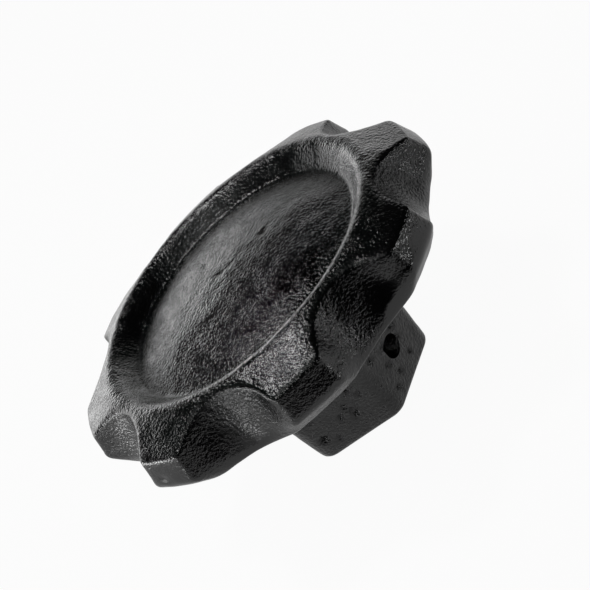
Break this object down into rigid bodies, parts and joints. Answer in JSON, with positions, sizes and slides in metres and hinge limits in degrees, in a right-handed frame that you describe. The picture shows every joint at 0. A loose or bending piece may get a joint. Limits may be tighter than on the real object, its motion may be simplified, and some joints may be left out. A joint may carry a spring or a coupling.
{
  "type": "star knob",
  "caption": "Cast-iron star knob with rounded lobes, finger scallops, a domed face and a tapered hexagonal hub that takes a shaft and a cross pin.",
  "frame": {"origin": "centre of the hub's end face, where the shaft bore opens", "axes": "+Z along the shaft bore from the hub's end to the domed face; +X through the middle of the hub flat that has the cross hole"},
  "size_m": [0.0798, 0.0798, 0.0366],
  "materials": {
    "iron": "gloss black paint over sand-cast grain"
  },
  "bodies": {
    "root": {"star_knob": "iron"}
  },
  "joints": []
}
